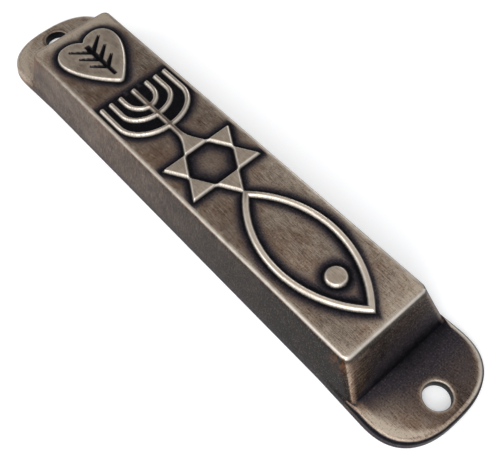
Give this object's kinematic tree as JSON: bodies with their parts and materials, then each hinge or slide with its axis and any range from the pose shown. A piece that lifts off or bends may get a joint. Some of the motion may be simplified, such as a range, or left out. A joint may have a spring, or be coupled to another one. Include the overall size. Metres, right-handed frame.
{
  "type": "mezuzah case",
  "caption": "Cast metal mezuzah case: a drafted hollow box with raised decoration and a screw ear at each end, closed behind by a pressed-in plate that holds a sleeved parchment scroll.",
  "frame": {"origin": "centre of the back face, on the plane that meets the doorpost or the table", "axes": "+Z out of the decorated front, +Y along the length to the upper end, +X to the right when facing the front"},
  "size_m": [0.0236, 0.12, 0.0106],
  "materials": {
    "antique_metal": "antiqued zinc alloy, brushed, dark in the hollows and burnished on the edges",
    "cover_plastic": "fine matt grain",
    "clear_film": "clear, glossy",
    "parchment": "matt, fibrous"
  },
  "bodies": {
    "cover": {"back_cover": "cover_plastic"},
    "case": {"case_shell": "antique_metal"},
    "scroll_pack": {"scroll_sleeve": "clear_film", "scroll": "parchment"}
  },
  "joints": [
    {"name": "case_lift", "type": "slide", "parent": "cover", "child": "case", "axis": [0, 0, 1], "range_m": [0, 0.025]},
    {"name": "scroll_lift", "type": "slide", "parent": "cover", "child": "scroll_pack", "axis": [0, 0, 1], "range_m": [0, 0.01]}
  ],
  "couplings": [
    {"joint": "scroll_lift", "follows": "case_lift", "ratio": 0.4}
  ]
}
